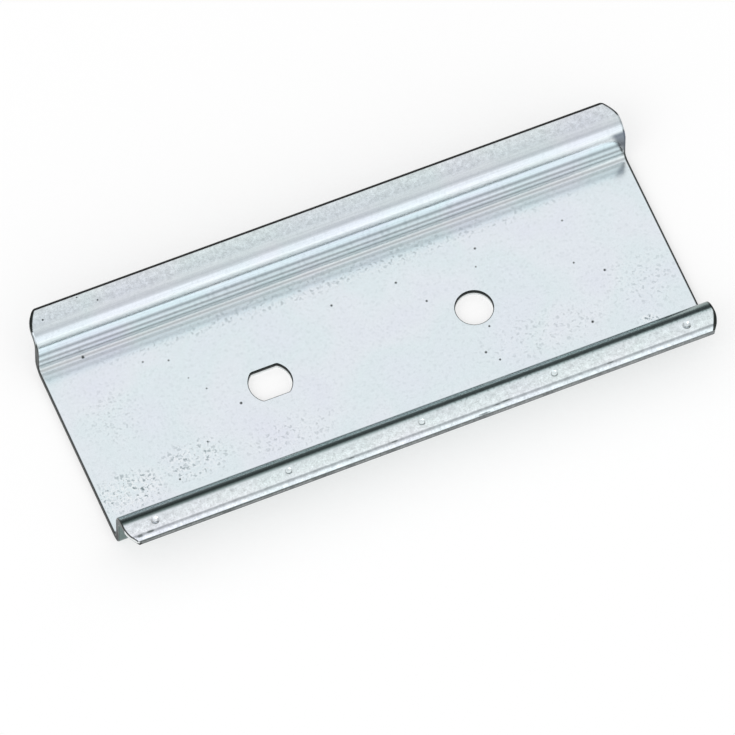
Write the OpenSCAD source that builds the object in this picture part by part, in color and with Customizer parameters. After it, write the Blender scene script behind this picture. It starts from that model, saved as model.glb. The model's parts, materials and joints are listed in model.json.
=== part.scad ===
// A short piece of top-hat mounting rail, bent from one strip of sheet steel.
// It lies open side up. X runs along the rail, Y across it, Z up, and the origin is under its middle.

/* [Rail] */
// Length of the piece
rail_len = 78; // [60:1:300]
// Width over both flanges
rail_w = 35; // [34:0.5:40]
// Height from the underside to the top of the flanges
rail_h = 7.5; // [7:0.5:15]
// Width over the outside of the two walls
channel_w = 27; // [24:0.5:27]
// Thickness of the sheet
sheet_t = 1; // [1:0.1:1.5]
// Inside radius of the bends between the base and the walls
base_bend_r = 0.8; // [0.5:0.1:1.5]
// Inside radius of the bends between the walls and the flanges
top_bend_r = 1.5; // [0.5:0.1:1.5]

/* [Flanges] */
// Radius of the round on each corner of the flanges
corner_r = 3.75; // [3.5:0.25:6]
// How far the corner rounds of the plain flange reach in from its long edge
plain_reach = 3.1; // [2.7:0.1:3.4]
// How far the corner rounds of the dimpled flange reach in from its long edge
dimpled_reach = 2.7; // [2.7:0.1:3.4]
// Width of the rolled top edge at the middle of a corner round
corner_roll = 0.45; // [0.2:0.05:0.6]
// Radius of the rolled top edge along the plain flange
plain_roll = 0.65; // [0.2:0.05:0.9]
// Radius of the rolled top edge along the dimpled flange
dimpled_roll = 0.9; // [0.2:0.05:0.9]

/* [Holes] */
// Distance between the middles of the two screw holes
hole_pitch = 27; // [20:1:40]
// Diameter of the round hole
hole_d = 4.7; // [3:0.1:6.5]
// Length of the flatted hole along the rail
slot_len = 5.4; // [4.8:0.1:8]
// Width of the flatted hole between its flats
slot_w = 4.2; // [3:0.1:4.4]
// Radius of the corners between its flats and its round ends
slot_corner_r = 0.4; // [0.2:0.1:0.6]

/* [Dimples] */
// Number of dimples in a row on one flange
dimple_count = 5; // [1:1:5]
// Distance from one dimple to the next
dimple_pitch = 17.5; // [10:0.5:17.5]
// Width of a dimple at the surface
dimple_d = 1.2; // [0.8:0.1:1.6]
// Depth of a dimple
dimple_depth = 0.25; // [0.1:0.05:0.3]
// Distance of the dimples from the long edge of the flange
dimple_inset = 2; // [1.5:0.1:2.2]

/* [Hidden] */
$fn = 96;
// Outside radii of the bends
base_outer_r = base_bend_r + sheet_t;
top_outer_r = top_bend_r + sheet_t;
// Half widths of the rail, and of the channel outside and inside its walls
half_w = rail_w / 2;
wall_out = channel_w / 2;
wall_in = wall_out - sheet_t;
// Centre of the flatted hole's corner rounds, and the height where they run into its round ends
slot_corner_y = slot_w / 2 - slot_corner_r;
slot_corner_x = sqrt(pow(slot_len / 2 - slot_corner_r, 2) - pow(slot_corner_y, 2));
slot_join_y = slot_corner_y * (slot_len / 2) / (slot_len / 2 - slot_corner_r);
// Radius of the ball that presses a dimple of this width and depth
ball_r = (pow(dimple_d / 2, 2) + pow(dimple_depth, 2)) / (2 * dimple_depth);
// How far a cutter runs past the faces that it cuts
past = 1;

// Section of one bend: a quarter of a ring around its own centre
module bend(inner_r, quarter) {
    outer_r = inner_r + sheet_t;
    intersection() {
        difference() {
            circle(outer_r);
            circle(inner_r);
        }
        rotate(90 * quarter) square(outer_r);
    }
}

// Section of what a roll takes off a square edge, with the roll's centre at the origin
module edge_waste(roll_r, out) {
    difference() {
        square([roll_r + out, roll_r + out]);
        circle(roll_r);
    }
}

// Section of one flange, with the top of its long edge rolled over
module flange_section(edge_roll) {
    inner = wall_in + top_outer_r;
    difference() {
        translate([inner, rail_h - sheet_t]) square([half_w - inner, sheet_t]);
        translate([half_w - edge_roll, rail_h - edge_roll]) edge_waste(edge_roll, 0);
    }
}

// Section of half the rail: base, bend, wall, bend and flange
module half_section(edge_roll) {
    square([wall_out - base_outer_r, sheet_t]);
    translate([wall_out - base_outer_r, base_outer_r]) bend(base_bend_r, 3);
    translate([wall_in, base_outer_r]) square([sheet_t, rail_h - base_outer_r - top_outer_r]);
    translate([wall_in + top_outer_r, rail_h - top_outer_r]) bend(top_bend_r, 1);
    flange_section(edge_roll);
}

// The bent strip before its corners and holes are cut
module strip() {
    rotate([90, 0, 90]) linear_extrude(rail_len, center = true) {
        half_section(plain_roll);
        mirror([1, 0]) half_section(dimpled_roll);
    }
}

// What the punch takes off the flange in the +X, +Y corner, leaving a round with a rolled top edge
module corner_waste(reach) {
    // Angle that the round turns through, and how far the roll goes to either side of its middle
    turn = asin(reach / corner_r);
    roll_turn = 0.45 * turn;
    // Radius of the roll, a little over its width so that it meets the round's wall at an edge
    roll_r = 1.1 * corner_roll;
    // How far behind the round's centre the roll is centred, so that it fades out at both ends
    roll_back = corner_roll / (1 - cos(roll_turn));
    translate([rail_len / 2 - corner_r, half_w - reach, 0]) {
        translate([0, 0, -past]) linear_extrude(rail_h + 2 * past) difference() {
            square([corner_r + past, reach + past]);
            circle(corner_r);
        }
        rotate(turn / 2) translate([-roll_back, 0, rail_h - roll_r])
            rotate(-roll_turn) rotate_extrude(angle = 2 * roll_turn)
                translate([corner_r + roll_back - corner_roll, 0]) edge_waste(roll_r, past);
    }
}

// Round screw hole
module round_hole() {
    translate([0, 0, -past]) cylinder(d = hole_d, h = sheet_t + 2 * past);
}

// Flatted screw hole: a round hole with two flats along the rail and rounded corners beside them
module flatted_hole() {
    translate([0, 0, -past]) linear_extrude(sheet_t + 2 * past) {
        square([2 * slot_corner_x, slot_w], center = true);
        intersection() {
            circle(d = slot_len);
            square([slot_len, 2 * slot_join_y], center = true);
        }
        for (x = [-slot_corner_x, slot_corner_x], y = [-slot_corner_y, slot_corner_y])
            translate([x, y]) circle(slot_corner_r);
    }
}

// Dimple pressed into the top of a flange
module dimple() {
    translate([0, 0, rail_h - dimple_depth + ball_r]) sphere(ball_r);
}

module rail() {
    color("lightsteelblue") difference() {
        strip();
        for (end = [0, 1]) mirror([end, 0, 0]) {
            corner_waste(plain_reach);
            mirror([0, 1, 0]) corner_waste(dimpled_reach);
        }
        translate([hole_pitch / 2, 0, 0]) round_hole();
        translate([-hole_pitch / 2, 0, 0]) flatted_hole();
        for (i = [0 : dimple_count - 1])
            translate([(i - (dimple_count - 1) / 2) * dimple_pitch, dimple_inset - half_w, 0]) dimple();
    }
}

rail();
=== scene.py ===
import json
import math

import bmesh
import bpy
from mathutils import Matrix, Vector


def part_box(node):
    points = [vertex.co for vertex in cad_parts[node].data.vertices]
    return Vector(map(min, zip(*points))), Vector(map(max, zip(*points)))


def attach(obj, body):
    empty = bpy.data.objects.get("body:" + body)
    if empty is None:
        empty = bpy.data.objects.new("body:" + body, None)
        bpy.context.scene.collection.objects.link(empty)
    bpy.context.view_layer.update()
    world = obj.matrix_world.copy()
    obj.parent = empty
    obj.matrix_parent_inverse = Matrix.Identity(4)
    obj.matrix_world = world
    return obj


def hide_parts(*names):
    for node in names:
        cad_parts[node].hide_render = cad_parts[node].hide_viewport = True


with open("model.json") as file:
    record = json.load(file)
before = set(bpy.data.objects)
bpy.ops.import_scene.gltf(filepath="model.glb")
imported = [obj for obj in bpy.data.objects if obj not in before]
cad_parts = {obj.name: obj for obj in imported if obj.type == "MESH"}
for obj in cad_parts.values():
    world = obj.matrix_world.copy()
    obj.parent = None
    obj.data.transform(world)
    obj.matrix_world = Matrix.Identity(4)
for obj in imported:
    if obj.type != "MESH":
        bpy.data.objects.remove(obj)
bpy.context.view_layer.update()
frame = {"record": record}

# A short zinc-plated top-hat rail lying open side up on a pale floor.
# Lengths in the dictionaries are millimetres in the frame's axes, and millimetre turns them into metres.
millimetre = 0.001
same = 1e-4                    # places closer than this are taken as one
scene = bpy.context.scene


# Camera

cameraSettings = {
    "azimuth": -22.7,      # degrees, from the front towards the left end
    "elevation": 61.1,     # degrees, looking down on the open side
    "distance": 2000.0,
    "frameWidth": 89.85,   # what the square frame takes in at the rail
    "aimRight": -0.60,     # the frame's middle, from the origin, along the picture's own axes
    "aimUp": -2.30,
    "sensor": 36.0,
}


def addCamera(s):
    turn, rise = math.radians(s["azimuth"]), math.radians(s["elevation"])
    back = Vector((math.sin(turn) * math.cos(rise), -math.cos(turn) * math.cos(rise), math.sin(rise)))
    right = Vector((math.cos(turn), math.sin(turn), 0))
    up = back.cross(right)
    aim = (right * s["aimRight"] + up * s["aimUp"]) * millimetre
    data = bpy.data.cameras.new("camera")
    data.sensor_width = s["sensor"]
    data.lens = s["sensor"] * s["distance"] / s["frameWidth"]
    data.clip_start = 0.1
    data.clip_end = 30
    camera = bpy.data.objects.new("camera", data)
    camera.matrix_world = (Matrix.Translation(aim + back * s["distance"] * millimetre)
                           @ Matrix((right, up, back)).transposed().to_4x4())
    scene.collection.objects.link(camera)
    scene.camera = camera


addCamera(cameraSettings)
print("camera placed")


# Rail

railLow, railHigh = (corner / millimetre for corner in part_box("rail"))
mounts = {m["name"]: Vector(m["pos_m"]) / millimetre for m in frame["record"]["mounts"]}
railSettings = {
    "length": railHigh.x - railLow.x,
    "halfWidth": railHigh.y,
    "height": railHigh.z,
    "sheet": 1.0,
    "wallInside": 12.5,        # from the middle to the inside of a wall
    "baseBend": 0.8,           # inside radii of the bends
    "topBend": 1.5,
    "bendSteps": 16,
    "nearRoll": 0.9,           # radius of the rolled top edge of the long side with the dimples
    "farRoll": 0.65,           # and of the plain one
    "rollSteps": 10,
    "cornerRound": 3.75,       # radius of the round on each flange corner
    "nearReach": 2.7,          # how far it reaches in from the long side with the dimples
    "farReach": 3.1,           # and from the plain one
    "cornerRoll": 0.45,        # widest part of the rolled edge on a corner round
    "cornerRollRadius": 0.495,
    "cornerRollShare": 0.45,   # how much of the round's turn it covers to either side of the middle
    "rowStep": 3,              # rows of faces along the rail, up to this far from its middle
    "rowReach": 33,
    "rowGap": 0.4,             # what they keep clear of the patches round holes and dimples
    "cutsAlong": (8, 15.25, 15.5, 15.75, 16.0, 16.3),   # cuts along the rail on both sides, from its middle
    "endRows": (0.015, 0.06, 0.12, 0.2, 0.28, 0.38, 0.5, 0.7),   # rows beside each end, from the end
    "endEase": 2.2,            # over this length the rows before them lean into the corner round
    "endBreak": 0.2,           # rounding of the sheared ends on the open side, and under it
    "endBreakUnder": 0.08,
    "rimBreak": 0.1,           # rounding of the hole rims
    "rimSteps": 3,
    "nearSlit": 0.80,          # the long edges are bare where they face this much outwards
    "farSlit": 0.20,
    "holeWallReach": 0.09,     # faces this close to a hole's outline are its wall,
    "holeWallFlat": 0.98,      # if they face less than this much up or down
}
roundHole = {
    "x": mounts["screw_hole"].x,
    "radius": 2.35,
    "patch": 4.0,              # half the square of the base that is filled anew round it
    "points": 64,
    "ring": 0.4,               # width of the even ring of faces along its rim
}
flattedHole = {
    "x": mounts["flatted_screw_hole"].x,
    "radius": 2.7,
    "flat": 2.1,               # from its middle to either flat
    "corner": 0.4,             # radius of the corners beside the flats
    "cornerSteps": 6,
    "patch": 4.0,
    "points": 60,
    "ring": 0.4,
}
dimpleSettings = {
    "count": 5,
    "pitch": 17.5,
    "y": -15.5,
    "radius": 0.48,
    "depth": 0.1,
    "wall": 0.2,               # width of the slope round its bottom
    "endRadius": 0.62,         # the same for the first and the last one
    "endDepth": 0.2,
    "endWall": 0.45,
    "patch": 0.8,              # half the square of the flange that is filled anew round it
    "points": 32,
    "rings": 11,
}


def dimpleX(i):
    return (i - (dimpleSettings["count"] - 1) / 2) * dimpleSettings["pitch"]


def sheetAt(y, z, s):
    # the nearest point of the sheet's middle layer, and the way from it to the open side, as Y and Z
    side = 1 if y >= 0 else -1
    y = abs(y)
    half = s["sheet"] / 2
    topCentre = Vector((s["wallInside"] + s["topBend"] + s["sheet"], s["height"] - s["topBend"] - s["sheet"]))
    baseCentre = Vector((s["wallInside"] - s["baseBend"], s["baseBend"] + s["sheet"]))
    if y >= topCentre.x:
        middle, out = Vector((y, s["height"] - half)), Vector((0, 1))
    elif z >= topCentre.y:
        out = (Vector((y, z)) - topCentre).normalized()
        middle = topCentre + out * (s["topBend"] + half)
    elif z >= baseCentre.y:
        middle, out = Vector((s["wallInside"] + half, z)), Vector((-1, 0))
    elif y >= baseCentre.x:
        out = (baseCentre - Vector((y, z))).normalized()
        middle = baseCentre - out * (s["baseBend"] + half)
    else:
        middle, out = Vector((y, half)), Vector((0, 1))
    return Vector((side * middle.x, middle.y)), Vector((side * out.x, out.y))


def drawSection(bm, s):
    # the open side of the sheet as a wire of six points, with its four bends rounded
    wall, base = s["wallInside"], s["sheet"]
    points = [(-s["halfWidth"], s["height"]), (-wall, s["height"]), (-wall, base),
              (wall, base), (wall, s["height"]), (s["halfWidth"], s["height"])]
    corners = [bm.verts.new((-s["length"] / 2, y, z)) for y, z in points]
    for a, b in zip(corners, corners[1:]):
        bm.edges.new((a, b))
    for bent, radius in (((corners[1], corners[4]), s["topBend"] + s["sheet"]),
                         ((corners[2], corners[3]), s["baseBend"])):
        bmesh.ops.bevel(bm, geom=list(bent), affect="VERTICES", offset_type="OFFSET", offset=radius,
                        segments=s["bendSteps"], profile=0.5, material=-1)


def drawOut(bm, s):
    # the wire drawn out along the rail, then cut into rows for the holes, the dimples and the ends
    drawn = bmesh.ops.extrude_edge_only(bm, edges=bm.edges[:])["geom"]
    farEnd = [g for g in drawn if isinstance(g, bmesh.types.BMVert)]
    bmesh.ops.translate(bm, verts=farEnd, vec=(s["length"], 0, 0))
    across = set(range(-s["rowReach"], s["rowReach"] + 1, s["rowStep"]))
    patches = [(hole["x"], hole["patch"]) for hole in (roundHole, flattedHole)]
    patches += [(dimpleX(i), dimpleSettings["patch"]) for i in range(dimpleSettings["count"])]
    for x, half in patches:
        across = {a for a in across if abs(a - x) > half + s["rowGap"]}
    for x, half in patches:
        # five cuts through each patch, so that its border has points to fill from
        across |= {round(x + k * half / 2, 4) for k in range(-2, 3)}
    rows = list(s["endRows"]) + [s["endRows"][-1] + s["endEase"]]
    across |= {side * (s["length"] / 2 - row) for row in rows for side in (-1, 1)}
    along = [k * roundHole["patch"] / 2 for k in range(-2, 3)]
    along += [side * y for y in s["cutsAlong"] for side in (-1, 1)]
    for normal, places in (((1, 0, 0), sorted(across)), ((0, 1, 0), sorted(along))):
        for place in places:
            bmesh.ops.bisect_plane(bm, geom=bm.verts[:] + bm.edges[:] + bm.faces[:], dist=1e-5,
                                   plane_co=Vector(normal) * place, plane_no=normal)


def facesWithin(bm, x, y, half, low):
    # faces round a point whose middles are above a height
    return [f for f in bm.faces if abs(f.calc_center_median().x - x) < half
            and abs(f.calc_center_median().y - y) < half and f.calc_center_median().z > low]


def openPatch(bm, faces):
    # takes a patch of faces away and returns the edges left around it
    inside = set(faces)
    border = [e for e in {e for f in faces for e in f.edges} if not set(e.link_faces) <= inside]
    bmesh.ops.delete(bm, geom=list(inside), context="FACES")
    return border


def punchHole(bm, hole, s):
    # a patch of the base is filled anew round the hole's outline, with an even ring along the rim
    border = openPatch(bm, facesWithin(bm, hole["x"], 0, hole["patch"], 0))
    bmesh.ops.create_circle(bm, cap_ends=True, segments=hole["points"], radius=hole["radius"] + hole["ring"],
                            matrix=Matrix.Translation((hole["x"], 0, s["sheet"])))
    if "flat" in hole:
        cutFlats(bm, hole, s)
    outline = outlineOf(bm, hole)
    bmesh.ops.triangle_fill(bm, use_beauty=True, edges=border + list(outline.edges), normal=(0, 0, 1))
    bmesh.ops.inset_region(bm, faces=[outline], thickness=hole["ring"], use_even_offset=True)
    bmesh.ops.delete(bm, geom=[outline], context="FACES")


def outlineOf(bm, hole):
    # the one face in an open patch
    return facesWithin(bm, hole["x"], 0, hole["patch"] / 2, 0)[0]


def cutFlats(bm, hole, s):
    # two flats along the rail, with rounded corners beside them
    radius, flat, corner = (hole[name] + hole["ring"] for name in ("radius", "flat", "corner"))
    for side in (-1, 1):
        outline = outlineOf(bm, hole)
        bmesh.ops.bisect_plane(bm, geom=list(outline.verts) + list(outline.edges) + [outline], dist=1e-5,
                               plane_co=(hole["x"], side * flat, s["sheet"]), plane_no=(0, side, 0),
                               clear_outer=True)
    corners = {v for e in longEdges(bm, hole) for v in e.verts}
    bmesh.ops.bevel(bm, geom=list(corners), affect="VERTICES", offset_type="OFFSET", profile=0.5, material=-1,
                    offset=corner * math.tan(math.acos(flat / radius) / 2), segments=hole["cornerSteps"])


def longEdges(bm, hole):
    return [e for e in outlineOf(bm, hole).edges if e.calc_length() > hole["radius"] / 2]


def thicken(bm, s):
    # the skin gets the sheet's thickness, away from the open side
    bmesh.ops.recalc_face_normals(bm, faces=bm.faces)
    base = min(bm.faces, key=lambda f: f.calc_center_median().z)
    if base.normal.z < 0:
        bmesh.ops.reverse_faces(bm, faces=bm.faces)
    bm.normal_update()
    bmesh.ops.solidify(bm, geom=bm.faces[:], thickness=s["sheet"])
    bmesh.ops.recalc_face_normals(bm, faces=bm.faces)


def rollLongEdges(bm, s):
    for side, radius in ((-1, s["nearRoll"]), (1, s["farRoll"])):
        edges = [e for e in bm.edges if all(side * v.co.y > s["halfWidth"] - same
                                            and v.co.z > s["height"] - same for v in e.verts)]
        bmesh.ops.bevel(bm, geom=edges, affect="EDGES", offset_type="OFFSET", offset=radius,
                        segments=s["rollSteps"], profile=0.5, clamp_overlap=False, material=-1)


def breakRims(bm, s):
    for hole in (roundHole, flattedHole):
        # the square edges close to the hole
        rims = [e for e in bm.edges if e.is_manifold and e.calc_face_angle(0) > 1
                and all(math.hypot(v.co.x - hole["x"], v.co.y) < hole["radius"] + 0.2 for v in e.verts)]
        bmesh.ops.bevel(bm, geom=rims, affect="EDGES", offset_type="OFFSET", offset=s["rimBreak"],
                        segments=s["rimSteps"], profile=0.5, clamp_overlap=False, material=-1)


def pressDimple(bm, i, d, s):
    # a disc of rings in the flange, pressed down: the first and the last are wider and deeper than the others
    x = dimpleX(i)
    if i in (0, d["count"] - 1):
        radius, depth, wall = d["endRadius"], d["endDepth"], d["endWall"]
    else:
        radius, depth, wall = d["radius"], d["depth"], d["wall"]
    border = openPatch(bm, facesWithin(bm, x, d["y"], d["patch"], s["height"] - s["sheet"] / 2))
    ring = bmesh.ops.create_circle(bm, cap_ends=True, segments=d["points"], radius=radius,
                                   matrix=Matrix.Translation((x, d["y"], s["height"])))["verts"]
    disc = ring[0].link_faces[0]
    bmesh.ops.bridge_loops(bm, edges=border + list(disc.edges))
    for k in range(d["rings"]):
        bmesh.ops.inset_region(bm, faces=[disc], thickness=radius / (d["rings"] + 1), use_even_offset=True)
    bmesh.ops.poke(bm, faces=[disc])
    for v in bm.verts:
        r = math.hypot(v.co.x - x, v.co.y - d["y"])
        if r < radius + same and v.co.z > s["height"] - s["sheet"] / 2:
            inward = min(1.0, (radius - r) / wall)
            v.co.z -= depth * inward ** 2 * (3 - 2 * inward)


def cornerReach(y, s):
    return s["farReach"] if y > 0 else s["nearReach"]


def cornerInset(y, s):
    # how far the corner round takes the end in, at a place across the rail
    over = max(0.0, abs(y) - s["halfWidth"] + cornerReach(y, s))
    return s["cornerRound"] - math.sqrt(s["cornerRound"] ** 2 - over ** 2)


def rolledDrop(distance, radius):
    # how far a quarter round lies under its flat, at a distance from the edge
    return radius - math.sqrt(max(0.0, radius ** 2 - max(0.0, radius - distance) ** 2))


def cornerRollDrop(x, y, s):
    # how far the rolled edge of a corner round lies under the flange's top,
    # turned round a middle that is behind the round's own, so that it fades out at both ends
    turn = math.asin(cornerReach(y, s) / s["cornerRound"])
    back = s["cornerRoll"] / (1 - math.cos(s["cornerRollShare"] * turn))
    middle = Vector((s["length"] / 2 - s["cornerRound"] - back * math.cos(turn / 2),
                     s["halfWidth"] - cornerReach(y, s) - back * math.sin(turn / 2)))
    past = (Vector((x, abs(y))) - middle).length - s["cornerRound"] - back + s["cornerRoll"]
    return rolledDrop(s["cornerRollRadius"] - max(0.0, past), s["cornerRollRadius"])


def shapeEnds(bm, s):
    # the end rows lean into the corner rounds, and the end edges are rounded
    fromEnd = bm.verts.layers.float.new("fromEnd")
    rolled = bm.verts.layers.float.new("rolled")
    easeStart = s["length"] / 2 - s["endRows"][-1] - s["endEase"]
    for v in bm.verts:
        side = 1 if v.co.x > 0 else -1
        x = abs(v.co.x)
        v[fromEnd] = toEnd = s["length"] / 2 - x
        if x < easeStart:
            continue
        x -= cornerInset(v.co.y, s) * min(1.0, (x - easeStart) / s["endEase"])
        middle, out = sheetAt(v.co.y, v.co.z, s)
        off = (Vector((v.co.y, v.co.z)) - middle).dot(out)
        edge = min(1.0, (s["halfWidth"] - abs(v.co.y)) / (s["farRoll"] if v.co.y > 0 else s["nearRoll"]))
        if off > 0:
            drop = rolledDrop(toEnd, s["endBreak"]) * edge
            if abs(v.co.y) > s["halfWidth"] - cornerReach(v.co.y, s):
                onFlat = abs(v.co.y) > s["wallInside"] + s["topBend"] + s["sheet"]
                under = s["height"] - v.co.z if onFlat else 0
                v[rolled] = cornerRollDrop(x, v.co.y, s)
                drop = max(drop, v[rolled] - under)
        else:
            drop = -rolledDrop(toEnd, s["endBreakUnder"]) * edge
        v.co = (side * x, v.co.y - out.x * drop, v.co.z - out.y * drop)


def markSheared(bm, s):
    # the end faces, the hole walls and the lower part of the long edges are the second material
    for f in bm.faces:
        middle = f.calc_center_median()
        ends = all(abs(v.co.x) > s["length"] / 2 - same for v in f.verts)
        nearHole = any(math.hypot(middle.x - hole["x"], middle.y) < hole["radius"] + s["holeWallReach"]
                       for hole in (roundHole, flattedHole))
        walls = nearHole and abs(f.normal.z) < s["holeWallFlat"]
        facing = s["farSlit"] if middle.y > 0 else s["nearSlit"]
        slit = abs(middle.y) > s["wallInside"] + s["topBend"] + s["sheet"] and abs(f.normal.y) > facing
        f.material_index = 1 if ends or walls or slit else 0


def addRail(s):
    bm = bmesh.new()
    drawSection(bm, s)
    drawOut(bm, s)
    for hole in (roundHole, flattedHole):
        punchHole(bm, hole, s)
    thicken(bm, s)
    rollLongEdges(bm, s)
    breakRims(bm, s)
    for i in range(dimpleSettings["count"]):
        pressDimple(bm, i, dimpleSettings, s)
    bm.normal_update()
    markSheared(bm, s)
    shapeEnds(bm, s)
    bmesh.ops.recalc_face_normals(bm, faces=bm.faces)
    for f in bm.faces:
        f.smooth = True
    bmesh.ops.scale(bm, vec=(millimetre,) * 3, verts=bm.verts)
    mesh = bpy.data.meshes.new("dinRail")
    bm.to_mesh(mesh)
    bm.free()
    rail = bpy.data.objects.new("dinRail", mesh)
    scene.collection.objects.link(rail)
    weights = rail.modifiers.new("flatsStayFlat", "WEIGHTED_NORMAL")
    weights.mode = "FACE_AREA"
    weights.weight = 50
    weights.keep_sharp = True
    return rail


rail = addRail(railSettings)
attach(rail, "root")
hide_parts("rail")
print("rail modelled:", len(rail.data.polygons), "faces")


# Node helpers

def addNode(tree, kind, inputs=None, **settings):
    # a node with its settings, and its inputs either set or linked
    node = tree.nodes.new(kind)
    for name, value in settings.items():
        setattr(node, name, value)
    for name, value in (inputs or {}).items():
        if isinstance(value, bpy.types.NodeSocket):
            tree.links.new(value, node.inputs[name])
        else:
            node.inputs[name].default_value = value
    return node


def calc(tree, operation, *values):
    return addNode(tree, "ShaderNodeMath", dict(enumerate(values)), operation=operation).outputs[0]


def vectorCalc(tree, operation, a, b):
    return addNode(tree, "ShaderNodeVectorMath", {0: a, 1: b}, operation=operation)


def fade(tree, value, start, end):
    # 0 at the start, 1 at the end, with a soft step between them
    return addNode(tree, "ShaderNodeMapRange", {"Value": value, "From Min": start, "From Max": end},
                   interpolation_type="SMOOTHSTEP").outputs[0]


def band(tree, value, start, full, fullEnd, end):
    # 0 at the start and the end, 1 from full to fullEnd
    return calc(tree, "MULTIPLY", fade(tree, value, start, full), fade(tree, value, end, fullEnd))


def lengthOf(tree, vector):
    return addNode(tree, "ShaderNodeVectorMath", {0: vector}, operation="LENGTH").outputs["Value"]


def splitUp(tree, vector):
    return addNode(tree, "ShaderNodeSeparateXYZ", {0: vector}).outputs


def flatten(tree, vector):
    # without its height
    return vectorCalc(tree, "MULTIPLY", vector, (1, 1, 0)).outputs[0]


def addRamp(tree, value, stops):
    node = addNode(tree, "ShaderNodeValToRGB", {"Fac": value})
    elements = node.color_ramp.elements
    elements.remove(elements[1])
    elements[0].position = stops[0][0]
    elements[0].color = (*stops[0][1], 1)
    for place, colour in stops[1:]:
        elements.new(place).color = (*colour, 1)
    return node.outputs[0]


def blend(tree, factor, a, b, kind="MIX"):
    node = addNode(tree, "ShaderNodeMix", {0: factor, 6: a, 7: b}, data_type="RGBA", blend_type=kind)
    return node.outputs[2]


def noise(tree, vector, scale, detail=2.0, roughness=0.5, distortion=0.0):
    inputs = {"Vector": vector, "Scale": scale, "Detail": detail, "Roughness": roughness,
              "Distortion": distortion}
    return addNode(tree, "ShaderNodeTexNoise", inputs).outputs["Fac"]


def newGroup(name, inputs, outputs):
    # inputs and outputs give each socket's type by its name
    group = bpy.data.node_groups.new(name, "ShaderNodeTree")
    for label, kind in inputs.items():
        group.interface.new_socket(name=label, in_out="INPUT", socket_type=kind)
    for label, kind in outputs.items():
        group.interface.new_socket(name=label, in_out="OUTPUT", socket_type=kind)
    return group, group.nodes.new("NodeGroupInput").outputs, group.nodes.new("NodeGroupOutput").inputs


def newMaterial(name):
    # an empty material, with the piece's own millimetres as a vector
    material = bpy.data.materials.new(name)
    material.use_nodes = True
    tree = material.node_tree
    tree.nodes.clear()
    place = tree.nodes.new("ShaderNodeTexCoord").outputs["Object"]
    return material, tree, vectorCalc(tree, "MULTIPLY", place, (1 / millimetre,) * 3).outputs[0]


# Effects that both finishes use

def makeGrain():
    # the crystal grain of the zinc, with a cloudier layer under it
    group, given, out = newGroup("zincGrain", {"Vector": "NodeSocketVector", "Size": "NodeSocketFloat"},
                                 {"Fine": "NodeSocketFloat", "Cloud": "NodeSocketFloat"})
    sized = vectorCalc(group, "DIVIDE", given["Vector"], given["Size"]).outputs[0]
    group.links.new(noise(group, sized, 1.0, 4.0, 0.65), out["Fine"])
    group.links.new(noise(group, sized, 0.35, 3.0, 0.55, 0.4), out["Cloud"])
    return group


def makeStreaks():
    # lines drawn out one way by the rolls or by the shear
    group, given, out = newGroup("drawnStreaks",
                                 {"Vector": "NodeSocketVector", "Stretch": "NodeSocketVector"},
                                 {"Lines": "NodeSocketFloat"})
    stretched = vectorCalc(group, "MULTIPLY", given["Vector"], given["Stretch"]).outputs[0]
    group.links.new(fade(group, noise(group, stretched, 1.0, 3.0, 0.6), 0.32, 0.68), out["Lines"])
    return group


def useGroup(tree, group, **inputs):
    return addNode(tree, "ShaderNodeGroup", inputs, node_tree=group).outputs


def finishMetal(tree, colour, rough, relief):
    # the shader of a metal, with its relief in millimetres
    bump = addNode(tree, "ShaderNodeBump", {"Height": relief, "Distance": millimetre, "Strength": 1.0})
    shader = addNode(tree, "ShaderNodeBsdfPrincipled", {"Base Color": colour, "Metallic": 1.0,
                                                        "Roughness": rough, "Normal": bump.outputs[0]})
    addNode(tree, "ShaderNodeOutputMaterial", {"Surface": shader.outputs[0]})


grainGroup = makeGrain()
streaksGroup = makeStreaks()


# Zinc plating

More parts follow.
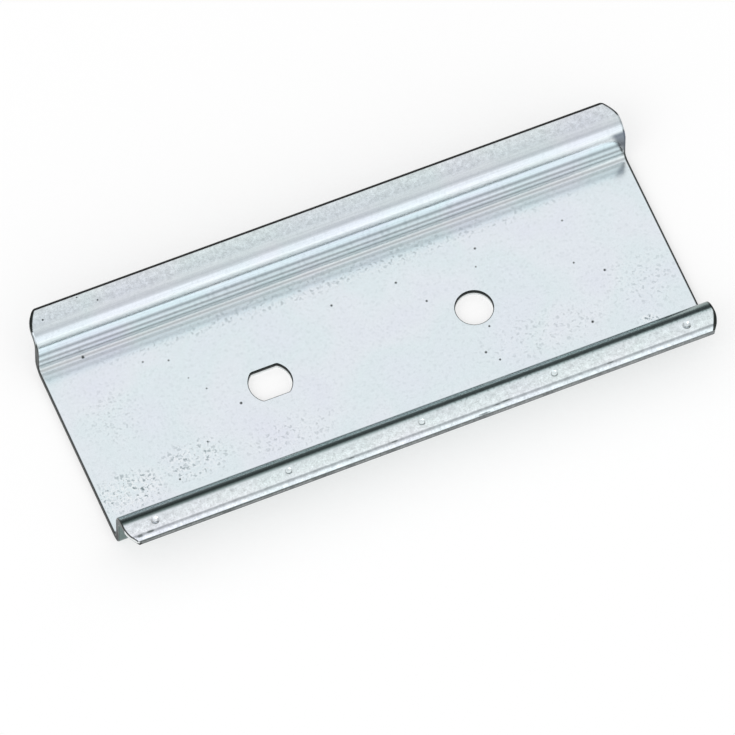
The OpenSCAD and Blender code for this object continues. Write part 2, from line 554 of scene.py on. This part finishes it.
# A place given by two numbers fades in from the first to the second, and one given by four also fades out
# again from the third to the fourth. Along is X, across is Y and height is Z, in millimetres.
platingSettings = {
    "colour": (0.777, 0.827, 0.874),
    "roughness": 0.18,
    "across": [                      # painted reflections and shade across the rail, from the dimpled flange over to the plain one
        (-17.5, (0.95, 0.95, 0.95)),
        (-17.0, (0.95, 0.95, 0.95)),
        (-16.86, (0.52, 0.52, 0.52)),    # painted dark line where the edge starts to roll over
        (-16.68, (0.56, 0.56, 0.56)),
        (-16.58, (1.05, 1.03, 1.01)),
        (-15.9, (1.00, 1.00, 0.97)),
        (-15.2, (0.93, 0.93, 0.91)),
        (-14.8, (0.94, 0.95, 0.93)),     # painted dark band on the bend to the dimpled flange
        (-14.5, (0.82, 0.93, 0.89)),
        (-14.32, (0.42, 0.51, 0.49)),
        (-14.05, (0.42, 0.52, 0.50)),
        (-13.9, (0.58, 0.68, 0.65)),
        (-13.72, (0.78, 0.87, 0.82)),
        (-13.5, (0.55, 0.61, 0.57)),
        (-12.5, (0.60, 0.66, 0.61)),
        (-12.4, (1.00, 1.00, 1.00)),
        (10.8, (1.00, 1.00, 1.00)),
        (11.5, (0.97, 0.94, 0.92)),
        (12.0, (1.00, 1.00, 1.00)),
        (13.0, (1.00, 1.00, 1.00)),
        (13.15, (0.95, 0.95, 0.97)),
        (13.52, (0.90, 0.90, 0.92)),     # painted dark band on the bend to the plain flange
        (13.70, (0.68, 0.68, 0.69)),
        (13.90, (0.63, 0.63, 0.64)),
        (14.12, (0.80, 0.80, 0.80)),
        (14.35, (0.88, 0.88, 0.87)),
        (14.65, (0.90, 0.90, 0.89)),
        (15.05, (0.80, 0.81, 0.81)),
        (15.9, (0.86, 0.87, 0.86)),
        (17.0, (0.91, 0.91, 0.88)),
    ],
    "wallReflections": [                   # painted light and dark reflection bands up the inside of the plain flange's wall, by height
        (1.00, (1.00, 1.00, 1.00)),
        (1.11, (0.50, 0.49, 0.48)),      # painted dark line where the base bends up
        (1.36, (1.17, 1.16, 1.13)),
        (1.68, (0.68, 0.67, 0.65)),      # first painted dark band
        (1.82, (0.72, 0.71, 0.69)),
        (2.08, (1.17, 1.16, 1.13)),
        (2.34, (1.16, 1.14, 1.11)),
        (2.78, (0.51, 0.50, 0.49)),      # second
        (2.93, (0.57, 0.56, 0.55)),
        (3.36, (1.17, 1.16, 1.13)),
        (3.65, (1.06, 1.04, 1.02)),
        (4.20, (0.48, 0.47, 0.46)),      # third
        (4.45, (0.62, 0.61, 0.60)),
        (4.90, (1.17, 1.16, 1.13)),
        (5.60, (1.17, 1.16, 1.13)),
        (6.10, (1.02, 1.00, 0.98)),
        (6.30, (1.17, 1.16, 1.13)),
        (6.52, (1.17, 1.16, 1.13)),
        (6.75, (1.00, 1.00, 1.00)),
    ],
    "reflectedWall": (11.8, 12.0, 13.4, 13.8),  # where those painted bands count, across
    "wallRoughness": [               # how rough it is there, by height
        (1.00, 0.18),
        (1.06, 0.34),
        (2.20, 0.34),
        (2.50, 0.18),
        (5.90, 0.18),
        (6.12, 0.45),
        (6.45, 0.45),
        (6.70, 0.18),
    ],
    "roughWall": (11.5, 11.8, 13.2, 13.4),
    "tints": [                       # faint colours over a slow noise
        (0.30, (0.985, 0.965, 1.00)),
        (0.45, (1.00, 1.00, 1.00)),
        (0.55, (0.96, 1.00, 0.985)),
        (0.70, (0.98, 0.985, 1.00)),
    ],
    "tintSize": 12.0,
    "grainSize": 0.22,
    "mottle": (0.10, 0.10),          # how much the fine and the cloudy grain show in the base
    "flangeMottle": (0.60, 0.75),    # and in the flanges
    "flangeStart": (14.5, 15.2),     # where the flanges' grain comes in, from the middle
    "streaks": 0.16,                 # how dark the lines get on the bends and the walls
    "streakColour": (0.25, 0.30, 0.34),
    "streakStretch": (0.05, 4.5, 4.5),
    "streakPlace": (11.0, 12.4, 14.4, 15.1),     # from the middle
    "paintedShadeColour": (0.10, 0.15, 0.14),      # painted shade on the dimpled flange's bend and wall
    "paintedShade": {                        # how dark that painted shade gets at most, and where
        "runOut": 0.85,              # the line where the bend runs out
        "runOutAcross": (-15.0, -14.55, -14.35, -13.95),
        "runOutAlong": (14.0, -40.0),
        "specks": 0.5,               # and in specks all along it
        "speckScale": 2.8,
        "speckShare": (0.50, 0.62),
        "wallTop": 0.35,             # the top of the wall, in two steps
        "wallTopAcross": (-14.0, -13.7, -12.5, -12.4),
        "wallTopAlong": ((16.0, 36.0), (36.2, 38.2)),
        "outside": 0.85,             # the outside of the wall
        "outsideAcross": (-13.3, -13.45),
        "outsideHeight": (6.55, 6.2),
        "outsideAlong": (-34.0, -36.5),
    },
    # dark colour for the ends, and for the painted shade on the corner rounds' rolled edges
    "darkEdgeColour": (0.035, 0.04, 0.038),
    "endLine": (0.34, 0.20),         # darker between these distances from the right end
    "leftEndLine": 0.13,             # and this much less far from the left one
    "lessDark": 0.75,                # this much less on the bend to the plain flange
    "lessDarkAcross": (12.9, 13.3, 14.6, 15.1),
    "shadedRoll": (0.0, 0.006),        # painted shade on a corner round's rolled edge, from this drop on
    "shadow": {                      # a dark patch at the right end of the plain flange's wall
        "most": 0.85,
        "slant": 0.38,               # its edge leans by this much for each mm up
        "along": (39.2, 40.1),
        "across": (12.0, 12.3),
        "height": (2.0, 3.2, 6.2, 6.7),
        "upper": (0.17, 0.20, 0.25),
        "lower": (0.08, 0.10, 0.13),
        "change": (6.4, 4.6),        # from the upper colour to the lower one, by height
    },
    "fleckColour": (0.20, 0.25, 0.27),
    "fleckStrength": 0.9,
    "rimColour": (0.97, 0.98, 0.99),
    "rimStrength": 0.55,
    "pitColour": (0.03, 0.035, 0.035),
    "nickColour": (0.10, 0.12, 0.12),
    "nickStrength": 0.8,
    "cloudRoughness": 0.10,          # how much the cloudy grain and the flecks add to the roughness
    "fleckRoughness": 0.15,
    "grainRelief": 0.0006,           # height of the grain and of the lines, depth of the pits
    "lineRelief": 0.0015,
    "pitRelief": 0.03,
    "openSide": (0.4, 0.6),          # flecks and pits show from this height on, in the base's sheet
    "nicks": [                       # scratches on the rolled edge: x, y, half their length and width
        (10.6, -16.72, 0.7, 0.12),
        (9.4, -16.80, 0.5, 0.09),
        (7.6, -17.25, 0.9, 0.10),
        (-4.1, -16.73, 0.5, 0.10),
        (-9.8, -16.80, 0.4, 0.08),
        (24.4, -16.78, 0.5, 0.08),
        (-36.1, -16.75, 0.5, 0.15),
        (-37.5, -16.85, 0.35, 0.2),
    ],
    "drops": {                       # the flecks: cells of a noise, each with one drop
        "scale": 1.25,
        "ragged": 2.2,               # scale of the noise that pulls them out of shape
        "size": (0.34, 0.10),        # from a drop's outside to its inside
        "share": (0.0, 0.65),        # some are faint
        "rim": 0.42,                 # distance of the rim from its middle, and half its width
        "rimWidth": 0.14,
        "fineScale": 3.0,            # finer flecks between the drops
        "fineShare": (0.57, 0.66),
        "fineStrength": 0.6,
        "patch": (1.2, 0.3),         # from the outside of a place below to its inside, as parts of its reach
        "patchHeight": 8.0,
    },
    "dampness": 0.08,                # strength of the flecks everywhere
    "spotPlaces": [                  # where the rinse water dried: x, y, reach along and across, strength
        (-35.0, -7.4, 5.5, 3.2, 1.0),
        (-26.3, -6.4, 5.5, 3.2, 0.75),
        (-33.0, 3.0, 5.0, 6.0, 0.25),
        (34.0, -4.5, 6.0, 5.0, 0.33),
        (20.0, -6.5, 11.0, 4.0, 0.3),
        (-14.0, -7.5, 8.0, 3.0, 0.35),
        (32.6, -9.8, 1.6, 1.1, 1.0),
        (0.0, 10.4, 42.0, 1.7, 0.45),
    ],
    "pits": [                        # small dark pits in the base and on the plain flange: x, y, radius
        (-26.8, 8.6, 0.14), (-23.8, 7.6, 0.14), (-22.5, 4.4, 0.10), (-21.0, 2.2, 0.12), (-17.9, -1.3, 0.20),
        (-2.5, 7.0, 0.18), (-23.7, -4.7, 0.12), (-28.8, -8.2, 0.14), (16.8, 7.6, 0.18), (15.9, 5.2, 0.12),
        (6.0, 6.9, 0.18), (8.5, 3.1, 0.16), (28.2, 7.1, 0.14), (27.2, 1.1, 0.14), (30.3, -1.3, 0.18),
        (26.1, -7.4, 0.20), (12.4, -6.3, 0.18), (13.6, -7.9, 0.15), (14.2, -3.1, 0.15), (-33.3, 12.0, 0.23),
        (-37.1, 15.4, 0.15), (-32.1, 16.7, 0.10), (-29.9, 15.4, 0.12),
    ],
}


def onOpenSide(tree, place, s):
    return fade(tree, splitUp(tree, place)["Z"], *s["openSide"])


def spotMask(tree, place, s):
    # dark flecks on the open side where drops dried, each with a paler rim, thick where the water stood
    d = s["drops"]
    wet = s["dampness"]
    for x, y, along, over, strength in s["spotPlaces"]:
        offset = vectorCalc(tree, "SUBTRACT", place, (x, y, railSettings["sheet"])).outputs[0]
        reach = vectorCalc(tree, "DIVIDE", offset, (along, over, d["patchHeight"])).outputs[0]
        patch = calc(tree, "MULTIPLY", fade(tree, lengthOf(tree, reach), *d["patch"]), strength)
        wet = calc(tree, "MAXIMUM", wet, patch)
    wet = calc(tree, "MULTIPLY", wet, onOpenSide(tree, place, s))
    pull = addNode(tree, "ShaderNodeTexNoise", {"Vector": place, "Scale": d["ragged"], "Detail": 2.0})
    ragged = vectorCalc(tree, "ADD", place, pull.outputs["Color"]).outputs[0]
    cells = addNode(tree, "ShaderNodeTexVoronoi", {"Vector": ragged, "Scale": d["scale"]},
                    voronoi_dimensions="2D").outputs
    strong = addNode(tree, "ShaderNodeSeparateColor", {0: cells["Color"]}).outputs[0]
    fleck = calc(tree, "MULTIPLY", fade(tree, cells["Distance"], *d["size"]), fade(tree, strong, *d["share"]))
    fine = fade(tree, noise(tree, place, d["fineScale"], 2.0, 0.6), *d["fineShare"])
    fleck = calc(tree, "MAXIMUM", fleck, calc(tree, "MULTIPLY", fine, d["fineStrength"]))
    fromRim = calc(tree, "ABSOLUTE", calc(tree, "SUBTRACT", cells["Distance"], d["rim"]))
    rim = fade(tree, fromRim, d["rimWidth"], 0.0)
    return calc(tree, "MULTIPLY", fleck, wet), calc(tree, "MULTIPLY", rim, wet)


def pitMask(tree, place, s):
    mask = 0.0
    flat = flatten(tree, place)
    for x, y, radius in s["pits"]:
        distance = vectorCalc(tree, "DISTANCE", flat, (x, y, 0)).outputs["Value"]
        mask = calc(tree, "MAXIMUM", mask, fade(tree, distance, 1.2 * radius, radius * 0.3))
    return calc(tree, "MULTIPLY", mask, onOpenSide(tree, place, s))


def nickMask(tree, place, s):
    mask = 0.0
    broken = noise(tree, place, 3.5, 2.0, 0.6)
    for x, y, halfLength, halfWidth in s["nicks"]:
        offset = vectorCalc(tree, "SUBTRACT", place, (x, y, railSettings["height"] - 0.1)).outputs[0]
        reach = vectorCalc(tree, "DIVIDE", offset, (halfLength, halfWidth, 0.6)).outputs[0]
        frayed = calc(tree, "ADD", lengthOf(tree, reach), broken)
        mask = calc(tree, "MAXIMUM", mask, fade(tree, frayed, 1.8, 1.0))
    return mask


def paintedRailReflections(tree, split, rise, s):
    # painted reflections and shade across the rail, and up the inside of the plain flange's wall
    width, top = 2 * railSettings["halfWidth"], railSettings["height"]
    over = calc(tree, "MULTIPLY_ADD", split["Y"], 1 / width, 0.5)
    tone = addRamp(tree, over, [(y / width + 0.5, level) for y, level in s["across"]])
    reflectionBands = addRamp(tree, rise, [(z / top, level) for z, level in s["wallReflections"]])
    withReflectionBands = blend(tree, 1.0, tone, reflectionBands, "MULTIPLY")
    tone = blend(tree, band(tree, split["Y"], *s["reflectedWall"]), tone, withReflectionBands)
    return blend(tree, 1.0, tone, (*s["colour"], 1), "MULTIPLY")


def addMottle(tree, place, fromMiddle, grain, colour, s):
    # tints over the whole rail, and grain that is coarser on the flanges
    tint = addRamp(tree, noise(tree, place, 1 / s["tintSize"], 2.0), s["tints"])
    colour = blend(tree, 1.0, colour, tint, "MULTIPLY")
    flange = fade(tree, fromMiddle, *s["flangeStart"])
    mottle = 1.0
    for name, plain, onFlange in zip(("Fine", "Cloud"), s["mottle"], s["flangeMottle"]):
        strength = calc(tree, "MULTIPLY_ADD", flange, onFlange - plain, plain)
        mottle = calc(tree, "MULTIPLY_ADD", calc(tree, "SUBTRACT", grain[name], 0.5), strength, mottle)
    return blend(tree, 1.0, colour, mottle, "MULTIPLY")


def addPaintedBendShade(tree, place, split, colour, paintedShadeColour, d):
    # painted shade: the bend to the dimpled flange is darker towards the left where it runs out,
    # with specks all along it, and so is its wall's top towards the right
    paintedShade = calc(tree, "MULTIPLY", fade(tree, split["X"], *d["runOutAlong"]), d["runOut"])
    specks = fade(tree, noise(tree, place, d["speckScale"], 3.0, 0.7), *d["speckShare"])
    paintedShade = calc(tree, "MAXIMUM", paintedShade, calc(tree, "MULTIPLY", specks, d["specks"]))
    paintedShade = calc(tree, "MULTIPLY", band(tree, split["Y"], *d["runOutAcross"]), paintedShade)
    colour = blend(tree, paintedShade, colour, paintedShadeColour)
    slow, fast = (fade(tree, split["X"], *along) for along in d["wallTopAlong"])
    paintedShade = calc(tree, "MULTIPLY", calc(tree, "ADD", slow, fast), d["wallTop"])
    paintedShade = calc(tree, "MULTIPLY", band(tree, split["Y"], *d["wallTopAcross"]), paintedShade)
    return blend(tree, paintedShade, colour, paintedShadeColour)


def darkenEndsAndShadeRounds(tree, split, colour, s):
    # the ends are darker, and the rolled edge of the corner rounds on one diagonal gets painted shade
    fromEnd = addNode(tree, "ShaderNodeAttribute", attribute_name="fromEnd").outputs["Fac"]
    fromEnd = calc(tree, "MULTIPLY_ADD", fade(tree, split["X"], 5.0, -5.0), s["leftEndLine"], fromEnd)
    kept = calc(tree, "MULTIPLY_ADD", band(tree, split["Y"], *s["lessDarkAcross"]), -s["lessDark"], 1.0)
    endDarkness = calc(tree, "MULTIPLY", fade(tree, fromEnd, *s["endLine"]), kept)
    rolled = addNode(tree, "ShaderNodeAttribute", attribute_name="rolled").outputs["Fac"]
    diagonal = fade(tree, calc(tree, "MULTIPLY", split["X"], split["Y"]), 0.0, -100.0)
    paintedRound = calc(tree, "MULTIPLY", fade(tree, rolled, *s["shadedRoll"]), diagonal)
    return blend(tree, calc(tree, "MAXIMUM", endDarkness, paintedRound), colour, (*s["darkEdgeColour"], 1))


def addShadow(tree, split, colour, d):
    # a slanting dark patch at the right end of the plain flange's wall
    slant = calc(tree, "MULTIPLY_ADD", split["Z"], d["slant"], split["X"])
    mask = calc(tree, "MULTIPLY", fade(tree, split["Y"], *d["across"]), band(tree, split["Z"], *d["height"]))
    mask = calc(tree, "MULTIPLY", fade(tree, slant, *d["along"]), mask)
    shade = blend(tree, fade(tree, split["Z"], *d["change"]), (*d["upper"], 1), (*d["lower"], 1))
    return blend(tree, calc(tree, "MULTIPLY", mask, d["most"]), colour, shade)


def addPaintedOutsideShade(tree, split, colour, paintedShadeColour, d):
    # painted shade on the outside of the dimpled flange's wall, at its left end
    mask = calc(tree, "MULTIPLY", fade(tree, split["Y"], *d["outsideAcross"]),
                fade(tree, split["Z"], *d["outsideHeight"]))
    paintedShade = calc(tree, "MULTIPLY", fade(tree, split["X"], *d["outsideAlong"]), d["outside"])
    return blend(tree, calc(tree, "MULTIPLY", mask, paintedShade), colour, paintedShadeColour)


def makePlating(s):
    material, tree, place = newMaterial("zincPlating")
    split = splitUp(tree, place)
    top = railSettings["height"]
    rise = calc(tree, "MULTIPLY", split["Z"], 1 / top)
    fromMiddle = calc(tree, "ABSOLUTE", split["Y"])
    paintedShadeColour = (*s["paintedShadeColour"], 1)
    grain = useGroup(tree, grainGroup, Vector=place, Size=s["grainSize"])
    lines = useGroup(tree, streaksGroup, Vector=place, Stretch=s["streakStretch"])["Lines"]
    lines = calc(tree, "MULTIPLY", lines, band(tree, fromMiddle, *s["streakPlace"]))
    fleck, rim = spotMask(tree, place, s)
    pits = pitMask(tree, place, s)

    colour = paintedRailReflections(tree, split, rise, s)
    colour = addMottle(tree, place, fromMiddle, grain, colour, s)
    colour = blend(tree, calc(tree, "MULTIPLY", lines, s["streaks"]), colour, (*s["streakColour"], 1))
    colour = addPaintedBendShade(tree, place, split, colour, paintedShadeColour, s["paintedShade"])
    colour = blend(tree, calc(tree, "MULTIPLY", rim, s["rimStrength"]), colour, (*s["rimColour"], 1))
    colour = blend(tree, calc(tree, "MULTIPLY", fleck, s["fleckStrength"]), colour, (*s["fleckColour"], 1))
    colour = blend(tree, pits, colour, (*s["pitColour"], 1))
    nicks = calc(tree, "MULTIPLY", nickMask(tree, place, s), s["nickStrength"])
    colour = blend(tree, nicks, colour, (*s["nickColour"], 1))
    colour = darkenEndsAndShadeRounds(tree, split, colour, s)
    colour = addShadow(tree, split, colour, s["shadow"])
    colour = addPaintedOutsideShade(tree, split, colour, paintedShadeColour, s["paintedShade"])

    smooth = (s["roughness"],) * 3 + (1,)
    rough = addRamp(tree, rise, [(z / top, (level,) * 3) for z, level in s["wallRoughness"]])
    rough = blend(tree, band(tree, split["Y"], *s["roughWall"]), smooth, rough)
    rough = calc(tree, "SUBTRACT", rough, s["cloudRoughness"] / 2)
    rough = calc(tree, "MULTIPLY_ADD", grain["Cloud"], s["cloudRoughness"], rough)
    rough = calc(tree, "MULTIPLY_ADD", fleck, s["fleckRoughness"], rough)
    relief = calc(tree, "MULTIPLY", grain["Fine"], s["grainRelief"])
    relief = calc(tree, "MULTIPLY_ADD", lines, s["lineRelief"], relief)
    relief = calc(tree, "MULTIPLY_ADD", pits, -s["pitRelief"], relief)
    finishMetal(tree, colour, rough, relief)
    return material


# Sheared edges

shearedSettings = {
    "low": (0.025, 0.03, 0.03),      # at the base: painted shade, darker down towards the floor
    "left": (0.17, 0.19, 0.19),      # at the flanges, towards the left and towards the right
    "right": (0.27, 0.29, 0.295),
    "leftToRight": (-36.0, 36.0),
    "lowToHigh": (1.5, 5.5),
    "farLeftShade": (0.08, 0.09, 0.09),   # painted shade at the left end of the plain flange and its wall
    "farLeftAcross": (5.0, 10.0),
    "farLeftAlong": (-20.0, -38.0),
    "farEdgeShade": (0.05, 0.05, 0.05),   # painted shade over the rolled edge of the plain flange
    "farEdgeAcross": (16.4, 16.8),
    "farEdgeHeight": (6.9, 7.15),
    "line": (0.42, 0.44, 0.44),      # a broken line drawn along the edge of the dimpled flange
    "lineStrength": 0.7,
    "lineAcross": (-17.2, -17.4),
    "lineHeight": (6.62, 6.74, 6.88, 7.0),
    "lineShare": (0.38, 0.55),
    "paintedReflection": (0.80, 0.83, 0.83),     # painted reflection, low in the holes and on the left end's round by the dimples
    "holesAlong": (22.0, 20.0),          # how far out the holes are looked for
    "holesAcross": (6.0, 4.0),
    "holesHeight": (0.55, 0.35),
    "roundAlong": (-36.4, -36.8),
    "roundAcross": (-15.2, -15.5),
    "roundHeight": (6.55, 6.65),
    "roundWall": (3.60, 3.68),           # from the round's centre
    "tip": (-37.8, -17.4, 6.6),      # the dark point at the end of that round
    "tipSize": (0.4, 0.2),
    "streaks": 0.35,                 # how dark the shear's lines get
    "streakStretch": (6.0, 6.0, 0.6),
    "roughness": 0.42,
    "cloudRoughness": 0.2,
    "relief": 0.006,
    "grainSize": 0.10,
}


def makeSheared(s):
    material, tree, place = newMaterial("shearedZinc")
    grain = useGroup(tree, grainGroup, Vector=place, Size=s["grainSize"])
    lines = useGroup(tree, streaksGroup, Vector=place, Stretch=s["streakStretch"])["Lines"]
    split = splitUp(tree, place)

    # tone along the flanges, with painted shade darker down to the base
    high = blend(tree, fade(tree, split["X"], *s["leftToRight"]), (*s["left"], 1), (*s["right"], 1))
    farLeftShade = calc(tree, "MULTIPLY", fade(tree, split["Y"], *s["farLeftAcross"]),
                   fade(tree, split["X"], *s["farLeftAlong"]))
    high = blend(tree, farLeftShade, high, (*s["farLeftShade"], 1))
    farEdgeShade = calc(tree, "MULTIPLY", fade(tree, split["Y"], *s["farEdgeAcross"]),
                   fade(tree, split["Z"], *s["farEdgeHeight"]))
    high = blend(tree, farEdgeShade, high, (*s["farEdgeShade"], 1))
    drawn = calc(tree, "MULTIPLY", fade(tree, split["Y"], *s["lineAcross"]),
                 band(tree, split["Z"], *s["lineHeight"]))
    drawn = calc(tree, "MULTIPLY", drawn, fade(tree, noise(tree, place, 0.5, 3.0), *s["lineShare"]))
    high = blend(tree, calc(tree, "MULTIPLY", drawn, s["lineStrength"]), high, (*s["line"], 1))
    colour = blend(tree, fade(tree, split["Z"], *s["lowToHigh"]), (*s["low"], 1), high)
    colour = blend(tree, calc(tree, "MULTIPLY", lines, s["streaks"]), colour, (*s["low"], 1))
    colour = blend(tree, calc(tree, "MULTIPLY_ADD", grain["Fine"], 0.8, 0.6), (0, 0, 0, 1), colour)

    # painted reflections, and the dark point
    centre = (railSettings["cornerRound"] - railSettings["length"] / 2,
              railSettings["nearReach"] - railSettings["halfWidth"], 0)
    fromCentre = vectorCalc(tree, "DISTANCE", flatten(tree, place), centre).outputs["Value"]
    paintedRound = calc(tree, "MULTIPLY", fade(tree, split["X"], *s["roundAlong"]),
                   fade(tree, fromCentre, *s["roundWall"]))
    paintedRound = calc(tree, "MULTIPLY", paintedRound, fade(tree, split["Y"], *s["roundAcross"]))
    paintedRound = calc(tree, "MULTIPLY", paintedRound, fade(tree, split["Z"], *s["roundHeight"]))
    colour = blend(tree, paintedRound, colour, (*s["paintedReflection"], 1))
    # painted reflection of the floor, low on the hole walls
    inHole = calc(tree, "MULTIPLY", fade(tree, calc(tree, "ABSOLUTE", split["Y"]), *s["holesAcross"]),
                  fade(tree, calc(tree, "ABSOLUTE", split["X"]), *s["holesAlong"]))
    inHole = calc(tree, "MULTIPLY", inHole, fade(tree, split["Z"], *s["holesHeight"]))
    colour = blend(tree, inHole, colour, (*s["paintedReflection"], 1))
    fromTip = vectorCalc(tree, "DISTANCE", place, s["tip"]).outputs["Value"]
    colour = blend(tree, fade(tree, fromTip, *s["tipSize"]), colour, (*s["low"], 1))

    rough = calc(tree, "MULTIPLY_ADD", grain["Cloud"], s["cloudRoughness"], s["roughness"])
    relief = calc(tree, "MULTIPLY", calc(tree, "ADD", lines, grain["Fine"]), s["relief"])
    finishMetal(tree, colour, rough, relief)
    return material


rail.data.materials.append(makePlating(platingSettings))
rail.data.materials.append(makeSheared(shearedSettings))
print("finishes made")


# Studio

studioSettings = {
    "floorSize": 20.0,               # metres
    "floorDrop": 0.02,               # how far under the rail it lies
    "floorColour": (0.45, 0.45, 0.45),
    "floorGlow": 0.55,               # what brings it up to white, for the camera and in reflections
    "behind": [                      # the sky's brightness over the sine of its elevation, behind the rail
        (0.00, 0.30),
        (0.12, 0.18),
        (0.25, 0.11),
        (0.50, 0.10),
        (0.57, 0.18),
        (0.65, 0.55),
        (0.73, 0.93),
        (0.86, 0.98),
        (1.00, 0.97),
    ],
    "beside": [                      # to both sides of that
        (0.00, 0.50),
        (0.20, 0.55),
        (0.60, 0.70),
        (0.73, 0.93),
        (0.86, 0.98),
        (1.00, 0.97),
    ],
    "front": [                       # and on the camera's side
        (0.00, 0.80),
        (0.08, 1.15),
        (0.45, 1.25),
        (0.88, 1.22),
        (0.94, 1.05),
        (1.00, 0.97),
    ],
    "behindAzimuth": 12.0,           # degrees from the far side towards the right end
    "behindWidth": (0.75, 0.92),     # cosines of the angles where it ends and where it is full
    "frontAzimuth": -22.7,           # as the camera's
    "frontWidth": (0.0, 0.55),       # the same, of the angle to the level way at the front
    "keyPower": 9.0,
    "keySize": 1.4,                  # metres
    "keyPlace": (-1.5, -1.0, 2.2),
}


def addFloor(s):
    bm = bmesh.new()
    bmesh.ops.create_grid(bm, x_segments=1, y_segments=1, size=s["floorSize"] / 2,
                          matrix=Matrix.Translation((0, 0, -s["floorDrop"] * millimetre)))
    mesh = bpy.data.meshes.new("floor")
    bm.to_mesh(mesh)
    bm.free()
    floor = bpy.data.objects.new("floor", mesh)
    scene.collection.objects.link(floor)
    material = bpy.data.materials.new("paleFloor")
    material.use_nodes = True
    tree = material.node_tree
    tree.nodes.clear()
    path = tree.nodes.new("ShaderNodeLightPath").outputs
    seen = calc(tree, "MAXIMUM", calc(tree, "MAXIMUM", path["Is Camera Ray"], path["Is Glossy Ray"]),
                path["Is Transmission Ray"])
    plain = addNode(tree, "ShaderNodeBsdfDiffuse", {"Color": (*s["floorColour"], 1)})
    glow = addNode(tree, "ShaderNodeEmission", {"Strength": calc(tree, "MULTIPLY", seen, s["floorGlow"])})
    lit = addNode(tree, "ShaderNodeAddShader", {0: plain.outputs[0], 1: glow.outputs[0]})
    # clear from below, so that it doesn't hide the underside
    clear = tree.nodes.new("ShaderNodeBsdfTransparent")
    under = tree.nodes.new("ShaderNodeNewGeometry").outputs["Backfacing"]
    both = addNode(tree, "ShaderNodeMixShader", {0: under, 1: lit.outputs[0], 2: clear.outputs[0]})
    addNode(tree, "ShaderNodeOutputMaterial", {"Surface": both.outputs[0]})
    mesh.materials.append(material)


def addSky(s):
    world = bpy.data.worlds.new("softStudio")
    scene.world = world
    world.use_nodes = True
    tree = world.node_tree
    tree.nodes.clear()
    way = tree.nodes.new("ShaderNodeTexCoord").outputs["Generated"]
    rise = splitUp(tree, way)["Z"]
    behind, beside, front = (addRamp(tree, rise, [(place, (level,) * 3) for place, level in s[name]])
                             for name in ("behind", "beside", "front"))
    turn = math.radians(s["behindAzimuth"])
    flatWay = addNode(tree, "ShaderNodeVectorMath", {0: flatten(tree, way)}, operation="NORMALIZE").outputs[0]
    back = vectorCalc(tree, "DOT_PRODUCT", flatWay, (math.sin(turn), math.cos(turn), 0)).outputs["Value"]
    turn = math.radians(s["frontAzimuth"])
    ahead = vectorCalc(tree, "DOT_PRODUCT", way, (math.sin(turn), -math.cos(turn), 0)).outputs["Value"]
    sky = blend(tree, fade(tree, back, *s["behindWidth"]), beside, behind)
    sky = blend(tree, fade(tree, ahead, *s["frontWidth"]), sky, front)
    light = addNode(tree, "ShaderNodeBackground", {"Color": sky})
    addNode(tree, "ShaderNodeOutputWorld", {"Surface": light.outputs[0]})


def addKey(s):
    data = bpy.data.lights.new("softbox", "AREA")
    data.shape = "SQUARE"
    data.size = s["keySize"]
    data.energy = s["keyPower"]
    lamp = bpy.data.objects.new("softbox", data)
    lamp.matrix_world = (Matrix.Translation(s["keyPlace"])
                         @ Vector(s["keyPlace"]).to_track_quat("Z", "Y").to_matrix().to_4x4())
    scene.collection.objects.link(lamp)


addFloor(studioSettings)
addSky(studioSettings)
addKey(studioSettings)
scene.view_settings.view_transform = "Standard"
print("studio lit")
